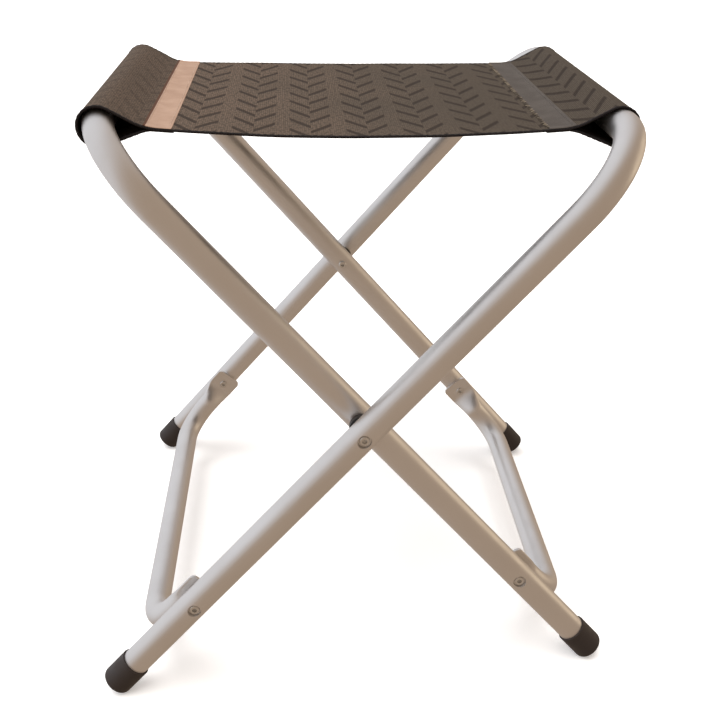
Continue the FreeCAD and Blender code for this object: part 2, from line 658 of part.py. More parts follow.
def make_sleeve(side):
    """The sling's cloth wrapped round a bar and sewn back onto itself."""
    body = new_body(f"seat_sleeve_{side}")
    sketch = new_sketch(body, "profile", "XZ_Plane")
    top = Vector(SIZES["seam_x"], SIZES["sleeve_tip_top"], 0)
    bottom = Vector(SIZES["seam_x"], SIZES["sleeve_tip_bottom"], 0)
    mouth = Vector(SIZES["sleeve_mouth_x"], SIZES["seam_height"], 0)
    add_teardrop(
        sketch, "sleeve_radius", top, bottom,
        (("dims.seam_x", "dims.sleeve_tip_top"), ("dims.seam_x", "dims.sleeve_tip_bottom")),
    )
    add_teardrop(
        sketch, "sleeve_bore", mouth, mouth, (("dims.sleeve_mouth_x", "dims.seam_height"),),
    )
    add_feature(body, "Pad", "cloth", sketch, "seat_width", symmetric=True)
    turn = Rotation(Vector(0, 0, 1), SIDE_TURN[side])
    finish_part(body, Placement(Vector(0, 0, 0), turn))


def make_seat_half(side):
    make_sleeve(side)
    make_strip(
        f"seat_panel_{side}", side, "middle_x", "seam_x", "panel_top_radius", "panel_bottom_radius",
    )
    make_strip(f"seam_band_{side}", side, "band_x", "seam_x", "band_top_radius", "panel_top_radius")
    make_strip(
        f"seam_flap_{side}", side, "band_x", "seam_x", "panel_bottom_radius", "flap_bottom_radius",
    )
    for y_sign, edge in ((-1, "front"), (1, "back")):
        make_strip(
            f"hem_{edge}_{side}", side, "middle_x", "band_x", "panel_bottom_radius",
            "hem_bottom_radius", "hem_y", y_sign, "hem_width",
        )


# ---------------------------------------------------------------- the stool

for frame_name in ("outer", "inner"):
    make_frame(frame_name)
    make_stretcher(frame_name)
make_rivets()
for side_sign, side_name in ((-1, "front"), (1, "back")):
    make_spacer(side_name, side_sign)
    make_foot(f"foot_{side_name}_left", "outer", side_sign)
    make_foot(f"foot_{side_name}_right", "inner", side_sign)
for seat_side in ("left", "right"):
    make_seat_half(seat_side)
document.recompute()


# ---------------------------------------------------------------- checks and files

for item in document.Objects:
    if "Invalid" in item.State or "Error" in item.State:
        raise RuntimeError(f"{item.Label} did not compute: {item.State}")
for item in parts:
    if item.Shape.isNull() or not item.Shape.isValid() or not item.Shape.Solids:
        raise RuntimeError(f"{item.Label} has no valid shape")
os.makedirs("parts", exist_ok=True)
for item in parts:
    item.Shape.exportStep(f"parts/{item.Label}.step")
    print(f"{item.Label}: {item.Shape.Volume:.0f} mm3, {len(item.Shape.Solids)} solid(s)")
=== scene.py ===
import bisect
import json
import math

import bmesh
import bpy
from mathutils import Matrix, Vector, noise


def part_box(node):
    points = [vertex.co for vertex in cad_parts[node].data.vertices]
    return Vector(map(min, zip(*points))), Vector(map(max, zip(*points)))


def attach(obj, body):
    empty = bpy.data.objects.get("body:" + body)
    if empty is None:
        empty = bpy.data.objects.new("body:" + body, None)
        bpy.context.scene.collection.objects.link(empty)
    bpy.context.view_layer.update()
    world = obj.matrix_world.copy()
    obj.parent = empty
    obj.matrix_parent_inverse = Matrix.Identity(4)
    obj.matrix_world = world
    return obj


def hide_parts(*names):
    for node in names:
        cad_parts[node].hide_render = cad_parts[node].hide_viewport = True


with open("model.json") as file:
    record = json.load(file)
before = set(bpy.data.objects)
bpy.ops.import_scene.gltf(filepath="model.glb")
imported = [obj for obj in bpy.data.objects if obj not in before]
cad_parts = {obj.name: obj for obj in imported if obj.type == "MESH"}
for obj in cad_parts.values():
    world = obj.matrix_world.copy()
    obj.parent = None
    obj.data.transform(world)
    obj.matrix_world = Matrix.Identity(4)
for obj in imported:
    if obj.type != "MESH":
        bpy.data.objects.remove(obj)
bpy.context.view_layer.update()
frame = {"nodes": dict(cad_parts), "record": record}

# Folding camp stool: the tubes, rivets, spacers and feet are the CAD nodes with better
# materials. The sling, its seam bands, edge bindings and stitches are made here.
# Metres, in the CAD frame: X across the sling, Y front to back along the bars, Z up.

# Places and sizes taken from the CAD model.
panel_low, panel_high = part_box("seat_panel_right")
sleeve_low, sleeve_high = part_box("seat_sleeve_right")
BAND_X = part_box("seam_band_right")[0].x
SEAM_X = panel_high.x
HALF_WIDTH = panel_high.y
CAD_CLOTH = 0.0016              # thickness of the CAD panel
CAD_SLEEVE_WALL = 0.0014
SEAM_Z = panel_high.z - CAD_CLOTH / 2
SAG = panel_high.z - panel_low.z - CAD_CLOTH
SAG_RADIUS = (SEAM_X ** 2 + SAG ** 2) / (2 * SAG)
SLEEVE_OUTER = (sleeve_high.z - sleeve_low.z) / 2
SLEEVE_CENTRE = Vector((sleeve_high.x - SLEEVE_OUTER, 0, sleeve_low.z + SLEEVE_OUTER))

# The sling's cloth.
CLOTH = 0.0012                  # thickness
FLAP_DROP = 0.0015              # from the panel down to the sleeve's sewn end
FLAP_INSET = 0.0030             # how far that end stays back from the panel's edges
STEP = 0.0022                   # between points along the cross-section
ACROSS_STEPS = 84               # along the bars
UPPER_BEND = 0.010              # how far from the seam the cloth starts to bend up
LOWER_BEND = 0.004
FRONT_SLACK = 0.0021            # how much deeper the cloth hangs along its front edge
BACK_PULL = 0.0028              # and how much less along its back edge
HOLLOW = 0.0010                 # how much deeper it sags between its bound edges
RIPPLE = 0.0005                 # height of the slow waves in the seat
RIPPLE_SIZE = (0.05, 0.04)      # their size across the seat and along the bars
PUCKER = 0.0003                 # the same for the short waves beside the seams
PUCKER_SIZE = (0.02, 0.015)

# Seam bands, bindings and stitches.
TAPE = 0.0005                   # thickness of the bands
BAND_TUCK = 0.0040              # length of the band's folded-under end
BINDING_OUTSIDE = 0.0012        # width of the binding on the cloth's face
BINDING_INSIDE = 0.0085         # and on its back
BINDING_LIFT = 0.00025          # the binding's thickness
BINDING_BEAD = 0.00085          # half the height of its rolled edge
THREAD = 0.00026                # radius
FINE_THREAD = 0.00014
STITCH = 0.0032                 # length
STITCH_PITCH = 0.0042
ZIGZAG_PITCH = 0.00252
ZIGZAG_WIDTH = 0.0032
ZIGZAG_INSET = 0.0002           # from the grey band's inner edge to the middle of the zigzag
ROW_INSET = 0.0022              # from a band's long edge to the row of stitches inside it
ROW_END = 0.001                 # from a fold, or the middle of the seat, to a row's first stitch
BINDING_ROW = 0.55              # share of the binding's face from its row to the cloth's edge
BAND_STOP = 0.022               # the bindings' stitches stop this far before the seam,
SEAM_STOP = 0.002               # start again this far behind it
FLAP_STOP = 0.024               # and end this far before the end of the cloth

# The woven figure, measured on the cloth.
WEAVE_PITCH = 0.0015
COLUMN_PITCH = 0.0404           # from one column of chevrons to the next
COLUMN_START = 0.005            # middle of the seat to the nearest column
ROW_PITCH = 0.0296
ROW_START = 0.0178              # where a left-hand stroke ends, from the middle of the seat
STROKE_SLOPE = 1.49
STROKE_REACH = 0.0150           # width of a stroke, from the column's middle line
STROKE_SHARE = 0.28             # of the row pitch that a stroke takes up
STROKE_BLUR = (0.28, 0.62)      # shares of that where its soft edge starts and ends
STROKE_END_BLUR = 0.0006        # half the width of the soft edge at its two ends


# ---------------------------------------------------------------- materials

class Finish:
    """A node material being put together. A call adds a node and gives back its output."""

    def __init__(self, name, sockets):
        self.material = bpy.data.materials.new(name)
        self.material.use_nodes = True
        self.tree = self.material.node_tree
        self.shader = self.tree.nodes["Principled BSDF"]
        for socket, value in sockets.items():
            self.shader.inputs[socket].default_value = value

    def node(self, kind, values, output=0, **settings):
        """A node of that kind. values maps an input's place to an output, number or colour."""
        node = self.tree.nodes.new(f"ShaderNode{kind}")
        for setting, value in settings.items():
            setattr(node, setting, value)
        for place, value in values.items():
            if isinstance(value, bpy.types.NodeSocket):
                self.tree.links.new(value, node.inputs[place])
            else:
                node.inputs[place].default_value = value
        return node.outputs[output]

    def math(self, operation, *values):
        return self.node("Math", dict(enumerate(values)), operation=operation)

    def wave(self, value, pitch):
        """A sine of that pitch, from 0 to 1."""
        angle = self.math("MULTIPLY", value, 2 * math.pi / pitch)
        return self.math("MULTIPLY_ADD", self.math("SINE", angle), 0.5, 0.5)

    def noise(self, scale, vector=None, detail=3.0):
        if vector is None:
            vector = self.node("TexCoord", {}, output="Object")
        return self.node("TexNoise", {"Vector": vector, "Scale": scale, "Detail": detail})

    def span(self, value, low, high, new_low=0.0, new_high=1.0):
        """value from low to high, moved smoothly to new_low to new_high."""
        values = {0: value, 1: low, 2: high, 3: new_low, 4: new_high}
        return self.node("MapRange", values, interpolation_type="SMOOTHSTEP")

    def mix(self, factor, first, second):
        values = {0: factor, 6: first, 7: second}
        return self.node("Mix", values, output=2, data_type="RGBA")

    def colour(self, output):
        self.tree.links.new(output, self.shader.inputs["Base Color"])

    def gloss(self, output):
        self.tree.links.new(output, self.shader.inputs["Roughness"])

    def bump(self, height, distance, strength=1.0, under=None):
        """Raises the surface by height times distance, on top of an earlier bump."""
        values = {"Height": height, "Distance": distance, "Strength": strength}
        if under is not None:
            values["Normal"] = under
        normal = self.node("Bump", values)
        self.tree.links.new(normal, self.shader.inputs["Normal"])
        return normal

    def cloth_place(self):
        """Distances on the cloth: across the seat from its middle, and along the bars."""
        place = self.node("UVMap", {}, uv_map="cloth")
        separate = self.tree.nodes.new("ShaderNodeSeparateXYZ")
        self.tree.links.new(place, separate.inputs[0])
        return separate.outputs["X"], separate.outputs["Y"], place


def anodised_tube():
    finish = Finish("anodised_tube", {"Metallic": 1.0})
    tone = finish.noise(14.0)
    finish.colour(finish.mix(tone, (0.72, 0.70, 0.68, 1), (0.80, 0.785, 0.775, 1)))
    grain = finish.noise(2600.0, detail=2.0)
    smears = finish.noise(45.0, detail=5.0)
    finish.gloss(finish.span(smears, 0.3, 0.75, 0.38, 0.48))
    finish.bump(grain, 0.00004, 0.5)
    return finish.material


def rivet_metal():
    finish = Finish("rivet_metal", {"Metallic": 1.0})
    tone = finish.noise(400.0)
    finish.colour(finish.mix(tone, (0.58, 0.57, 0.55, 1), (0.82, 0.81, 0.79, 1)))
    finish.gloss(finish.span(finish.noise(900.0), 0.3, 0.7, 0.24, 0.42))
    finish.bump(finish.noise(700.0), 0.0001, 0.4)
    return finish.material


def foot_rubber():
    finish = Finish("foot_rubber", {"Specular IOR Level": 0.45})
    mottle = finish.noise(120.0, detail=5.0)
    finish.colour(finish.mix(mottle, (0.020, 0.015, 0.014, 1), (0.042, 0.033, 0.030, 1)))
    finish.gloss(finish.span(mottle, 0.3, 0.7, 0.46, 0.66))
    finish.bump(finish.noise(1500.0), 0.0001, 0.5)
    return finish.material


def spacer_plastic():
    finish = Finish("spacer_plastic", {"Specular IOR Level": 0.5})
    mottle = finish.noise(300.0)
    finish.colour(finish.mix(mottle, (0.012, 0.011, 0.011, 1), (0.026, 0.024, 0.023, 1)))
    finish.gloss(finish.span(mottle, 0.3, 0.7, 0.40, 0.58))
    finish.bump(finish.noise(1800.0), 0.00008, 0.5)
    return finish.material


def weave(finish, across, along, pitch):
    """A plain weave's height, from 0 in its holes to 1 on its threads."""
    warp = finish.wave(across, 2 * pitch)
    weft = finish.wave(along, 2 * pitch)
    signed = [finish.span(threads, 0, 1, -1, 1) for threads in (warp, weft)]
    over = finish.math("MULTIPLY", *signed)
    return finish.math("MULTIPLY_ADD", over, 0.5, 0.5)


def chevrons(finish, across, along):
    """1 on the darker strokes of the woven figure, 0 between them."""
    column = finish.math("SUBTRACT", across, COLUMN_START - COLUMN_PITCH / 2)
    cell = finish.math("FRACT", finish.math("DIVIDE", column, COLUMN_PITCH))
    from_middle = finish.math("MULTIPLY", finish.math("SUBTRACT", cell, 0.5), COLUMN_PITCH)
    reach = finish.math("ABSOLUTE", from_middle)
    right_hand = finish.math("GREATER_THAN", from_middle, 0.0)
    climb = finish.math("MULTIPLY", reach, STROKE_SLOPE)
    level = finish.math("SUBTRACT", finish.math("SUBTRACT", along, ROW_START), climb)
    row = finish.math("ADD", finish.math("DIVIDE", level, ROW_PITCH), 0.5)
    staggered = finish.math("MULTIPLY_ADD", right_hand, 0.5, row)
    from_stroke = finish.math("SUBTRACT", finish.math("FRACT", staggered), 0.5)
    off_stroke = finish.math("ABSOLUTE", from_stroke)
    edge_start, edge_end = (STROKE_SHARE * share for share in STROKE_BLUR)
    stroke = finish.span(off_stroke, edge_start, edge_end, 1.0, 0.0)
    ends = (STROKE_REACH - STROKE_END_BLUR, STROKE_REACH + STROKE_END_BLUR)
    within = finish.span(reach, *ends, 1.0, 0.0)
    return finish.math("MULTIPLY", stroke, within)


def sling_face():
    finish = Finish("sling_face", {"Specular IOR Level": 0.18})
    across, along, place = finish.cloth_place()
    threads = weave(finish, across, along, WEAVE_PITCH)
    ribs = finish.wave(across, WEAVE_PITCH)
    lengthwise = finish.node("VectorMath", {0: place, 1: (1.0, 0.4, 1.0)}, operation="MULTIPLY")
    slubs = finish.noise(620.0, lengthwise, detail=2.0)

    # Warm brown on the left turns to darker olive on the right; the darkening is painted shade, as
    # if lit from the left. The soft patches in it are tone.
    patches = finish.noise(14.0, place, detail=4.0)
    shade_across_and_patches = finish.math("ADD", finish.span(across, -0.16, 0.16), patches)
    lit_brown, shaded_olive = (0.176, 0.120, 0.087, 1), (0.068, 0.055, 0.041, 1)
    ground = finish.mix(finish.span(shade_across_and_patches, 0.35, 1.50), lit_brown, shaded_olive)
    # Painted shade: the cloth turns darker where it rolls over the bars.
    reach = finish.math("ABSOLUTE", across)
    roll_shade = finish.span(reach, SEAM_X - 0.004, SEAM_X + 0.004, 0.0, 0.25)
    ground = finish.mix(roll_shade, ground, (0.030, 0.026, 0.022, 1))

    # Dark slubs in the yarn, then painted light on the weave: a painted highlight on its threads,
    # painted shade beside the ribs and in its holes.
    dark_slubs = finish.span(slubs, 0.38, 0.64, 0.0, 0.75)
    ground = finish.mix(dark_slubs, ground, (0.036, 0.027, 0.020, 1))
    # Painted highlight on the tops of the weave's threads.
    ground = finish.mix(finish.math("MULTIPLY", threads, 0.45), ground, (0.150, 0.118, 0.090, 1))
    ground = finish.mix(finish.math("MULTIPLY", ribs, 0.30), ground, (0.045, 0.034, 0.026, 1))
    # Painted shade in the holes of the weave.
    holes = finish.span(threads, 0.0, 0.45, 0.6, 0.0)
    ground = finish.mix(holes, ground, (0.020, 0.015, 0.012, 1))

    # The woven figure, which is fainter on the left roll.
    faint_left = finish.span(across, -SEAM_X - 0.004, -SEAM_X + 0.004, 0.35, 1.0)
    strokes = finish.math("MULTIPLY", chevrons(finish, across, along), faint_left)
    figure = finish.math("MULTIPLY", strokes, finish.span(slubs, 0.2, 0.8, 0.85, 0.60))
    finish.colour(finish.mix(figure, ground, (0.018, 0.012, 0.009, 1)))
    finish.gloss(finish.span(threads, 0.0, 1.0, 0.92, 0.75))
    low = finish.bump(ribs, 0.00010, 0.5)
    low = finish.bump(strokes, -0.0003, 0.6, under=low)
    finish.bump(threads, 0.00022, 0.8, under=low)
    return finish.material


def sling_back():
    finish = Finish("sling_back", {"Roughness": 0.88, "Specular IOR Level": 0.15})
    across, along, place = finish.cloth_place()
    threads = weave(finish, across, along, WEAVE_PITCH)
    fuzz = finish.noise(300.0, place)
    ground = finish.mix(fuzz, (0.045, 0.037, 0.031, 1), (0.080, 0.066, 0.054, 1))
    # Painted highlight: the weave's threads are lighter on their tops.
    thread_highlight = finish.math("MULTIPLY", threads, 0.4)
    finish.colour(finish.mix(thread_highlight, ground, (0.11, 0.09, 0.074, 1)))
    finish.bump(threads, 0.0002, 0.8)
    return finish.material


def seam_tape(name, dark, light, edge=None):
    """A finely ribbed woven tape, with painted shade along its outer edge, where it folds into the
    seam, if edge is given.
    """
    finish = Finish(name, {"Specular IOR Level": 0.2})
    across, along, place = finish.cloth_place()
    ribs = finish.wave(along, 0.0009)
    threads = weave(finish, across, along, 0.0007)
    cloudy = finish.noise(55.0, place, detail=5.0)
    # Painted highlight on the weave's threads, added to the tape's cloudy tone.
    thread_highlight = finish.math("MULTIPLY", threads, 0.3)
    tone = finish.math("ADD", thread_highlight, finish.span(cloudy, 0.3, 0.7, 0.0, 0.7))
    ground = finish.mix(tone, dark, light)
    # Painted shade along the outer edge, where the tape folds into the seam.
    if edge:
        reach = finish.math("ABSOLUTE", across)
        ground = finish.mix(finish.span(reach, SEAM_X - 0.0010, SEAM_X - 0.0004), ground, edge)
    finish.colour(ground)
    finish.gloss(finish.span(ribs, 0.0, 1.0, 0.80, 0.66))
    low = finish.bump(threads, 0.00008, 0.6)
    finish.bump(ribs, 0.00010, 0.6, under=low)
    return finish.material


def binding_tape():
    finish = Finish("binding_tape", {"Specular IOR Level": 0.2})
    across, along, place = finish.cloth_place()
    slanted = finish.math("ADD", across, finish.math("MULTIPLY", along, 1.3))
    diagonal = finish.wave(slanted, 0.0011)
    tone = finish.math("MULTIPLY", diagonal, finish.noise(500.0, place))
    finish.colour(finish.mix(tone, (0.008, 0.007, 0.008, 1), (0.040, 0.034, 0.034, 1)))
    finish.gloss(finish.span(diagonal, 0.0, 1.0, 0.8, 0.6))
    finish.bump(diagonal, 0.00010, 0.7)
    return finish.material


def thread(name, dark, light):
    finish = Finish(name, {"Roughness": 0.55, "Specular IOR Level": 0.3})
    tone = finish.noise(180.0, detail=2.0)
    finish.colour(finish.mix(finish.span(tone, 0.35, 0.65), dark, light))
    finish.bump(finish.noise(3000.0), 0.00005, 0.6)
    return finish.material


# ---------------------------------------------------------------- mesh helpers

def make_piece(name, vertices, faces, materials, face_materials=None, places=None):
    """A mesh object. places are the vertices' distances on the cloth, kept as its UV map."""
    mesh = bpy.data.meshes.new(name)
    mesh.from_pydata(vertices, [], faces)
    for material in materials:
        mesh.materials.append(material)
    if face_materials:
        mesh.polygons.foreach_set("material_index", face_materials)
    if places:
        layer = mesh.uv_layers.new(name="cloth")
        for loop in mesh.loops:
            layer.data[loop.index].uv = places[loop.vertex_index]
    shape = bmesh.new()
    shape.from_mesh(mesh)
    bmesh.ops.recalc_face_normals(shape, faces=shape.faces)
    shape.to_mesh(mesh)
    shape.free()
    for polygon in mesh.polygons:
        polygon.use_smooth = True
    mesh.set_sharp_from_angle(angle=math.radians(50))
    piece = bpy.data.objects.new(name, mesh)
    bpy.context.scene.collection.objects.link(piece)
    return piece


def thick_sheet(name, middle, half_thickness, places, materials):
    """A closed shell about a grid of (point, normal) pairs. Its back has the last material.

    half_thickness gives half the thickness in each row of the grid.
    """
    rows, columns = len(middle), len(middle[0])
    vertices, uvs = [], []
    for sign in (1, -1):
        for i in range(rows):
            for j in range(columns):
                point, normal = middle[i][j]
                vertices.append(point + normal * sign * half_thickness[i])
                uvs.append(places[i][j])
    back = rows * columns
    faces, slots = [], []
    for i in range(rows - 1):
        for j in range(columns - 1):
            first = i * columns + j
            quad = (first, first + 1, first + columns + 1, first + columns)
            faces.append(quad)
            slots.append(0)
            faces.append(tuple(corner + back for corner in reversed(quad)))
            slots.append(len(materials) - 1)
    border = list(range(columns))
    border += [i * columns + columns - 1 for i in range(1, rows)]
    border += [(rows - 1) * columns + j for j in range(columns - 2, -1, -1)]
    border += [i * columns for i in range(rows - 2, 0, -1)]
    for one, other in zip(border, border[1:] + border[:1]):
        faces.append((one, one + back, other + back, other))
        slots.append(0)
    return make_piece(name, vertices, faces, materials, slots, uvs)


def swept(name, rings, ring_places, materials):
    """A closed solid through rings of points, capped at both ends."""
    size = len(rings[0])
    vertices = [point for ring in rings for point in ring]
    faces = []
    for i in range(len(rings) - 1):
        for j in range(size):
            after = (j + 1) % size
            faces.append((
                i * size + j, i * size + after, (i + 1) * size + after, (i + 1) * size + j,
            ))
    last = (len(rings) - 1) * size
    faces.append(tuple(reversed(range(size))))
    faces.append(tuple(range(last, last + size)))
    places = [place for ring in ring_places for place in ring]
    return make_piece(name, vertices, faces, materials, places=places)


# ---------------------------------------------------------------- the sling's cross-section

def arc(centre, radius, start, end):
    """Points about STEP apart on an arc in the XZ plane, both ends included."""
    count = max(2, math.ceil(abs(end - start) * radius / STEP))
    angles = (start + (end - start) * k / count for k in range(count + 1))
    return [centre + Vector((math.cos(a), 0, math.sin(a))) * radius for a in angles]


def straight(start, end):
    count = max(2, math.ceil((end - start).length / STEP))
    return [start.lerp(end, k / count) for k in range(count + 1)]


def bend(start, corner, end):
    """A smooth curve from start to end that leaves and arrives along the corner's two sides."""
    count = max(4, math.ceil((end - start).length / STEP))
    steps = (k / count for k in range(count + 1))
    return [start.lerp(corner, t).lerp(corner.lerp(end, t), t) for t in steps]


def sag_arc(radius, first_x, last_x):
    """Part of the seat's sag curve, between two places across the seat."""
    centre = Vector((0, 0, SEAM_Z - SAG + SAG_RADIUS))
    return arc(centre, radius, -math.acos(first_x / radius), -math.acos(last_x / radius))


def tangent_point(tip, radius, above):
    """Where a line from the tip touches the sleeve's circle, above or below the bar."""
    away = tip - SLEEVE_CENTRE
    angle = math.atan2(away.z, away.x) % (2 * math.pi)
    angle += (-1 if above else 1) * math.acos(radius / away.length)
    return SLEEVE_CENTRE + Vector((math.cos(angle), 0, math.sin(angle))) * radius, angle


def cross_section():
    """The cloth's middle line: middle of the seat, seam, round the bar, back under the seam."""
    radius = SLEEVE_OUTER - CAD_SLEEVE_WALL / 2
    seam = Vector((SEAM_X, 0, SEAM_Z))
    under = seam - Vector((0, 0, FLAP_DROP))
    top, top_angle = tangent_point(seam, radius, above=True)
    bottom, bottom_angle = tangent_point(under, radius, above=False)
    panel = sag_arc(SAG_RADIUS, 0, SEAM_X - UPPER_BEND)
    rising = seam + (top - seam).normalized() * UPPER_BEND
    falling = under + (bottom - under).normalized() * LOWER_BEND
    flap = sag_arc(SAG_RADIUS + FLAP_DROP, SEAM_X - LOWER_BEND, BAND_X)
    # Each stretch comes with how freely it puckers.
    stretches = [
        (panel, 0.0),
        (bend(panel[-1], seam, rising), 0.3),
        (straight(rising, top), 1.0),
        (arc(SLEEVE_CENTRE, radius, top_angle, bottom_angle - 2 * math.pi), 0.1),
        (straight(bottom, falling), 1.0),
        (bend(falling, under, flap[0]), 0.2),
        (flap, 0.0),
    ]
    points, looseness = [], []
    for stretch, loose in stretches:
        fresh = stretch if not points else stretch[1:]
        points += fresh
        looseness += [loose] * len(fresh)
    return points, looseness


def settle(x, y):
    """How far the seat hangs below or above its even curve."""
    span = max(0.0, 1 - (x / SEAM_X) ** 2)
    back_share = 0.5 + 0.5 * y / HALF_WIDTH
    tilt = BACK_PULL * back_share - FRONT_SLACK * (1 - back_share)
    hollow = -HOLLOW * (1 - (y / HALF_WIDTH) ** 2)
    ripple = RIPPLE * noise.noise(Vector((x / RIPPLE_SIZE[0], y / RIPPLE_SIZE[1], 0.7)))
    return span * (tilt + hollow + ripple)


class ClothLine:
    """One side's cross-section, measured by the distance along the cloth from the middle."""

    def __init__(self, side):
        self.sign = 1 if side == "right" else -1
        self.points, self.looseness = cross_section()
        self.distances = [0.0]
        for before, after in zip(self.points, self.points[1:]):
            self.distances.append(self.distances[-1] + (after - before).length)
        self.length = self.distances[-1]
        self.normals = []
        for i in range(len(self.points)):
            ahead = self.points[min(i + 1, len(self.points) - 1)]
            along = ahead - self.points[max(i - 1, 0)]
            self.normals.append(Vector((-along.z, 0, along.x)).normalized())
        self.normals[0] = Vector((0, 0, 1))
        self.seam = next(s for s, point in zip(self.distances, self.points) if point.x >= SEAM_X)
        self.flap_start = self.length - (SEAM_X - BAND_X)

    def at(self, distance):
        """The cloth's place, outward direction and looseness at a distance along it."""
        after = min(max(bisect.bisect_left(self.distances, distance), 1), len(self.points) - 1)
        start, end = self.distances[after - 1], self.distances[after]
        share = min(max((distance - start) / (end - start), 0.0), 1.0)
        loose = self.looseness[after - 1] * (1 - share) + self.looseness[after] * share
        normal = self.normals[after - 1].lerp(self.normals[after], share).normalized()
        return self.points[after - 1].lerp(self.points[after], share), normal, loose

    def place(self, distance, y, lift=0.0):
        """A point on the cloth, or lifted off its face; and the outward direction there."""
        point, normal, loose = self.at(distance)
        under_panel = min(max((distance - self.flap_start) / LOWER_BEND, 0.0), 1.0)
        y *= 1 - under_panel * FLAP_INSET / HALF_WIDTH
        wave = Vector((distance / PUCKER_SIZE[0], y / PUCKER_SIZE[1], 4.1 * self.sign))
        spot = point + normal * (lift + PUCKER * loose * noise.noise(wave))
        spot.z += settle(point.x * self.sign, y)
        return (
            Vector((spot.x * self.sign, y, spot.z)),
            Vector((normal.x * self.sign, 0, normal.z)),
        )

    def on_cloth(self, distance, y):
        """Where a point lies on the flat cloth, for its UV map."""
        return (distance * self.sign, y)


def spread(low, high, count):
    return [low + (high - low) * k / (count - 1) for k in range(count)]


# ---------------------------------------------------------------- the sling's pieces

def make_sling(side, line, finishes):
    """The cloth of one half: panel, sleeve and the sleeve's sewn end in one piece."""
    ys = spread(-HALF_WIDTH, HALF_WIDTH, ACROSS_STEPS + 1)
    middle = [[line.place(s, y) for y in ys] for s in line.distances]
    places = [[line.on_cloth(s, y) for y in ys] for s in line.distances]
    faces = (finishes["sling_face"], finishes["sling_back"])
    return thick_sheet(f"sling_{side}", middle, [CLOTH / 2] * len(middle), places, faces)


def band_outline():
    """The band's middle line along Y, as (y, lift) pairs. Its ends are folded double."""
    resting = CLOTH / 2 + TAPE / 2
    doubled = resting + TAPE
    edge = HALF_WIDTH
    end = [
        (edge - 0.0002, doubled - 0.00035),
        (edge - 0.0005, doubled - 0.00008),
        (edge - 0.0011, doubled),
        (edge - BAND_TUCK + 0.0004, doubled),
        (edge - BAND_TUCK, resting + TAPE * 0.6),
        (edge - BAND_TUCK - 0.0005, resting),
    ]
    inner = spread(-(edge - BAND_TUCK - 0.004), edge - BAND_TUCK - 0.004, ACROSS_STEPS)
    front = [(-y, lift) for y, lift in end]
    return front + [(y, resting) for y in inner] + end[::-1]


def make_band(side, line, finish):
    """A tape sewn over the seam, with its ends turned under and rounded edges."""
    outline = band_outline()
    start = next(s for s, point in zip(line.distances, line.points) if point.x >= BAND_X)
    edge = 0.0004                   # width of each rounded long edge
    stations = [start, start + edge] + spread(start + 2 * edge, line.seam - 2 * edge, 14)
    stations += [line.seam - edge, line.seam]
    # How much of the tape's thickness each station has: less of it in the rounded edges.
    shares = [0.45, 0.9] + [1.0] * (len(stations) - 4) + [0.9, 0.45]
    directions = []
    for k in range(len(outline)):
        before, after = outline[max(k - 1, 0)], outline[min(k + 1, len(outline) - 1)]
        across = Vector((after[0] - before[0], after[1] - before[1])).normalized()
        directions.append((-across.y, across.x))
    middle, places = [], []
    for s in stations:
        row = []
        for (y, lift), (out_y, out_lift) in zip(outline, directions):
            point, normal = line.place(s, y, lift)
            row.append((point, normal * out_lift + Vector((0, out_y, 0))))
        middle.append(row)
        places.append([line.on_cloth(s, y) for y, lift in outline])
    half_thickness = [TAPE / 2 * share for share in shares]
    return thick_sheet(f"seam_tape_{side}", middle, half_thickness, places, (finish,))


def binding_outline():
    """The binding's section, as (outward from the cloth's edge, lift) pairs."""
    face = CLOTH / 2
    top = face + BINDING_LIFT
    bead = [
        (BINDING_BEAD * 0.7 * math.cos(a), BINDING_BEAD * math.sin(a))
        for a in spread(-1.25, 1.25, 9)
    ]
    return [
        (-BINDING_INSIDE, -face),
        (-BINDING_INSIDE + 0.0002, -top),
        (-0.0006, -top),
        *bead,
        (-0.0006, top),
        (-BINDING_OUTSIDE + 0.0002, top),
        (-BINDING_OUTSIDE, face),
        (-0.0002, face - 0.0002),
        (-0.0002, -face + 0.0002),
    ]


def make_binding(side, edge, line, finish):
    """The tape folded round the cloth's front or back edge, all along the cross-section."""
    sign = -1 if edge == "front" else 1
    outline = binding_outline()
    rings, places = [], []
    for s in line.distances:
        rings.append([line.place(s, sign * (HALF_WIDTH + out), lift)[0] for out, lift in outline])
        places.append([line.on_cloth(s, sign * (HALF_WIDTH + out)) for out, lift in outline])
    return swept(f"binding_{edge}_{side}", rings, places, (finish,))


def stitch_mesh(name, line, ends, lift, finish, radius=THREAD):
    """Stitches of one row, each a short thread that dips into the cloth at its two ends."""
    sides = 6
    # Shares of the stitch's length, each with its height in threads' radii.
    arch = ((0.0, -1.1), (0.12, 0.3), (0.35, 0.6), (0.65, 0.6), (0.88, 0.3), (1.0, -1.1))
    vertices, faces = [], []
    for (start_s, start_y), (end_s, end_y) in ends:
        first = len(vertices)
        run = Vector((end_s - start_s, end_y - start_y)).normalized()
        for share, rise in arch:
            s = start_s + (end_s - start_s) * share
            y = start_y + (end_y - start_y) * share
            girth = radius * (0.8 if share in (0.0, 1.0) else 1.0)
            for k in range(sides):
                turn = 2 * math.pi * k / sides
                aside = girth * math.cos(turn)
                spot, _ = line.place(
                    s - run.y * aside, y + run.x * aside,
                    lift + rise * radius + girth * math.sin(turn),
                )
                vertices.append(spot)
        for ring in range(len(arch) - 1):
            for k in range(sides):
                after = (k + 1) % sides
                near, far = first + ring * sides, first + (ring + 1) * sides
                faces.append((near + k, near + after, far + after, far + k))
        faces.append(tuple(first + k for k in reversed(range(sides))))
        faces.append(tuple(first + (len(arch) - 1) * sides + k for k in range(sides)))
    return make_piece(name, vertices, faces, (finish,))


def row_along_bar(s, inset):
    """A straight row of stitches along the bar, at one place across the seat."""
    count = int(2 * (HALF_WIDTH - inset) / STITCH_PITCH)
    starts = spread(-(HALF_WIDTH - inset), HALF_WIDTH - inset - STITCH, count)
    return [((s, y), (s, y + STITCH)) for y in starts]


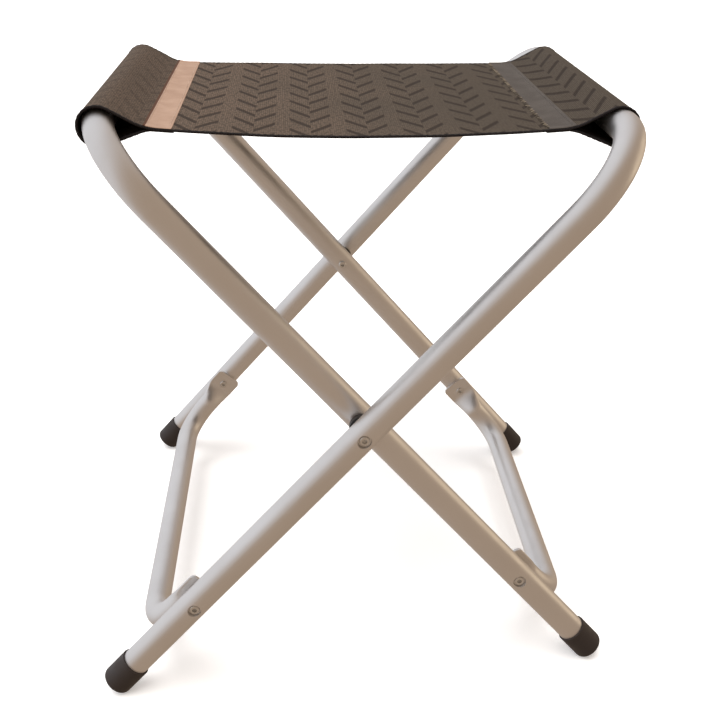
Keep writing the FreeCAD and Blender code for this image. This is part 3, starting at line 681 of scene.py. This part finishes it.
def zigzag_along_bar(s, width, inset):
    """A zigzag row along the bar, every stitch from one side of it to the other."""
    count = int(2 * (HALF_WIDTH - inset) / ZIGZAG_PITCH)
    ys = spread(-(HALF_WIDTH - inset), HALF_WIDTH - inset, count)
    turns = [(s + width / 2 * (1 if k % 2 else -1), y) for k, y in enumerate(ys)]
    return list(zip(turns, turns[1:]))


def row_along_edge(y, start, end):
    """A row of stitches across the seat, along the cloth's front or back edge."""
    count = int((end - start) / STITCH_PITCH)
    starts = spread(start, end - STITCH, count)
    return [((s, y), (s + STITCH, y)) for s in starts]


def sew_edges(side, line, finishes):
    """The bindings of the cloth's front and back edges, each with its stitches."""
    sewn = []
    for edge, sign in (("front", -1), ("back", 1)):
        binding = make_binding(side, edge, line, finishes["binding_tape"])
        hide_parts(f"hem_{edge}_{side}")
        y = sign * (HALF_WIDTH - BINDING_OUTSIDE * BINDING_ROW)
        row = row_along_edge(y, ROW_END, line.seam - BAND_STOP)
        row += row_along_edge(y, line.seam + SEAM_STOP, line.length - FLAP_STOP)
        stitches = stitch_mesh(
            f"binding_stitches_{edge}_{side}", line, row, CLOTH / 2 + BINDING_LIFT,
            finishes["thread_black"], FINE_THREAD,
        )
        for piece in (binding, stitches):
            sewn.append(piece)
    return sewn


def sew_band(side, line, finishes):
    """The band's two rows of stitches. The grey band's inner row is a pale zigzag."""
    on_tape = CLOTH / 2 + TAPE
    band_start = line.seam - (SEAM_X - BAND_X)
    outer_row = row_along_bar(line.seam - ROW_INSET, BAND_TUCK + ROW_END)
    if side == "left":
        outer_thread = inner_thread = finishes["thread_beige"]
        inner_row = row_along_bar(band_start + ROW_INSET, BAND_TUCK + ROW_END)
    else:
        outer_thread, inner_thread = finishes["thread_grey"], finishes["thread_pale"]
        inner_row = zigzag_along_bar(band_start + ZIGZAG_INSET, ZIGZAG_WIDTH, BAND_TUCK)
    return [
        stitch_mesh(f"seam_stitches_outer_{side}", line, outer_row, on_tape, outer_thread),
        stitch_mesh(f"seam_stitches_inner_{side}", line, inner_row, on_tape, inner_thread),
    ]


def make_half(side, finishes):
    """One half of the sling with everything that is sewn to it, moving with its own body."""
    line = ClothLine(side)
    sling = make_sling(side, line, finishes)
    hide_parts(f"seat_panel_{side}", f"seat_sleeve_{side}", f"seam_flap_{side}")

    band = make_band(side, line, finishes["tape_beige" if side == "left" else "tape_grey"])
    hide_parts(f"seam_band_{side}")
    edges = sew_edges(side, line, finishes)
    rows = sew_band(side, line, finishes)

    sewn = [band, *edges, *rows]
    for piece in (sling, *sewn):
        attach(piece, f"seat_{side}")


# ---------------------------------------------------------------- CAD nodes

def finish_cad_nodes(finishes):
    """Gives the frames, rivets, spacers and feet their materials, by their record slots."""
    by_slot = {
        "frame_tube": finishes["anodised_tube"],
        "rivet": finishes["rivet_metal"],
        "spacer": finishes["spacer_plastic"],
        "foot_rubber": finishes["foot_rubber"],
    }
    for subpart in frame["record"]["subparts"]:
        finish = by_slot.get(subpart["material_slot"])
        if finish is None:
            continue
        for slot in frame["nodes"][subpart["node"]].material_slots:
            slot.material = finish


# ---------------------------------------------------------------- studio

def make_floor():
    """A round floor that curves up into a backdrop far away, on every side."""
    flat, rise = 7.0, 4.0           # radius of the flat part and of the curve beyond it
    around = 72                     # corners of each ring
    profile = [(0.01, 0.0), (flat, 0.0)]
    profile += [(flat + rise * math.sin(a), rise * (1 - math.cos(a))) for a in spread(0.1, 1.5, 15)]
    vertices, faces = [], []
    for radius, height in profile:
        for k in range(around):
            turn = 2 * math.pi * k / around
            vertices.append((radius * math.cos(turn), radius * math.sin(turn), height))
    for ring in range(len(profile) - 1):
        for k in range(around):
            here, after = ring * around, (k + 1) % around
            faces.append((here + k, here + around + k, here + around + after, here + after))
    faces.append(tuple(range(around)))
    mesh = bpy.data.meshes.new("floor")
    mesh.from_pydata(vertices, [], faces)
    for polygon in mesh.polygons:
        polygon.use_smooth = True
    finish = Finish("floor_white", {
        "Roughness": 0.9, "Emission Color": (1, 1, 1, 1), "Emission Strength": 0.35,
    })
    finish.colour(finish.mix(finish.noise(0.8), (0.90, 0.90, 0.90, 1), (0.92, 0.92, 0.92, 1)))
    mesh.materials.append(finish.material)
    floor = bpy.data.objects.new("floor", mesh)
    bpy.context.scene.collection.objects.link(floor)
    floor.visible_glossy = False
    floor.visible_diffuse = False
    floor.visible_shadow = False


def make_world():
    """Even light: white from the upper left and behind, dimmer and warmer from elsewhere."""
    world = bpy.data.worlds.new("studio")
    bpy.context.scene.world = world
    world.use_nodes = True
    nodes, links = world.node_tree.nodes, world.node_tree.links
    direction = nodes.new("ShaderNodeTexCoord")
    towards = nodes.new("ShaderNodeVectorMath")
    towards.operation = "DOT_PRODUCT"
    links.new(direction.outputs["Generated"], towards.inputs[0])
    towards.inputs[1].default_value = Vector((-0.75, 0.5, 0.42)).normalized()
    brightness = nodes.new("ShaderNodeMapRange")
    brightness.interpolation_type = "SMOOTHSTEP"
    links.new(towards.outputs["Value"], brightness.inputs["Value"])
    brightness.inputs["From Min"].default_value = -0.15
    brightness.inputs["From Max"].default_value = 0.85
    blend = nodes.new("ShaderNodeMix")
    blend.data_type = "RGBA"
    links.new(brightness.outputs[0], blend.inputs[0])
    blend.inputs[6].default_value = (0.43, 0.33, 0.25, 1)
    blend.inputs[7].default_value = (0.84, 0.845, 0.88, 1)
    links.new(blend.outputs[2], nodes["Background"].inputs["Color"])


def disk_light(name, size):
    light = bpy.data.lights.new(name, "AREA")
    light.shape = "DISK"
    light.size = size
    return light


def add_lamp(name, light, place, power, colour):
    """Puts the light at that place, pointing at the middle of the stool."""
    light.energy = power
    light.color = colour
    lamp = bpy.data.objects.new(name, light)
    bpy.context.scene.collection.objects.link(lamp)
    lamp.location = place
    to_middle = Vector((0, 0, 0.3)) - Vector(place)
    lamp.rotation_euler = to_middle.to_track_quat("-Z", "Y").to_euler()
    return lamp


def make_lights():
    """A broad soft light from above, a cool one from the left and a warm one from the right."""
    top = bpy.data.lights.new("top", "SUN")
    top.angle = math.radians(55)
    add_lamp("top", top, (-0.4, -0.3, 2.6), 2.6, (1.0, 0.99, 0.97)).visible_glossy = False
    left = disk_light("left", 1.8)
    add_lamp("left", left, (-2.3, 0.3, 1.1), 2.0, (0.92, 0.95, 1.0)).visible_glossy = False
    warm_right = disk_light("warm_right", 1.6)
    add_lamp("warm_right", warm_right, (2.2, 0.6, 0.5), 3.5, (1.0, 0.84, 0.60))


def make_camera():
    """Stands a little left of the stool and looks down on it, nearly level across."""
    place = Vector((-0.04666, -0.84127, 0.60528))
    yaw, pitch, roll = (math.radians(angle) for angle in (-3.82, -25.87, 0.906))
    level = Vector((math.cos(yaw), math.sin(yaw), 0))
    forward = Vector((-math.sin(yaw), math.cos(yaw), 0))
    view = forward * math.cos(pitch) + Vector((0, 0, math.sin(pitch)))
    upward = level.cross(view)
    right = level * math.cos(roll) + upward * math.sin(roll)
    up = upward * math.cos(roll) - level * math.sin(roll)
    camera = bpy.data.cameras.new("camera")
    camera.sensor_width = 36.0
    camera.lens = 51.92
    stand = bpy.data.objects.new("camera", camera)
    bpy.context.scene.collection.objects.link(stand)
    turn = Matrix((right, up, -view)).transposed().to_4x4()
    stand.matrix_world = Matrix.Translation(place) @ turn
    bpy.context.scene.camera = stand


# ---------------------------------------------------------------- the scene

FINISHES = {
    "anodised_tube": anodised_tube(),
    "rivet_metal": rivet_metal(),
    "foot_rubber": foot_rubber(),
    "spacer_plastic": spacer_plastic(),
    "sling_face": sling_face(),
    "sling_back": sling_back(),
    "tape_beige": seam_tape(
        "tape_beige", (0.36, 0.235, 0.170, 1), (0.46, 0.315, 0.235, 1),
        # Painted shade along the beige tape's outer edge, where it folds into the seam.
        edge=(0.09, 0.040, 0.022, 1),
    ),
    "tape_grey": seam_tape("tape_grey", (0.066, 0.056, 0.049, 1), (0.094, 0.081, 0.071, 1)),
    "binding_tape": binding_tape(),
    "thread_beige": thread("thread_beige", (0.42, 0.30, 0.23, 1), (0.55, 0.41, 0.32, 1)),
    "thread_grey": thread("thread_grey", (0.070, 0.060, 0.053, 1), (0.105, 0.092, 0.082, 1)),
    "thread_pale": thread("thread_pale", (0.07, 0.057, 0.045, 1), (0.28, 0.23, 0.17, 1)),
    "thread_black": thread("thread_black", (0.012, 0.011, 0.011, 1), (0.03, 0.027, 0.026, 1)),
}

for seat_side in ("left", "right"):
    make_half(seat_side, FINISHES)
finish_cad_nodes(FINISHES)
make_floor()
make_world()
make_lights()
make_camera()
bpy.context.scene.view_settings.view_transform = "Standard"
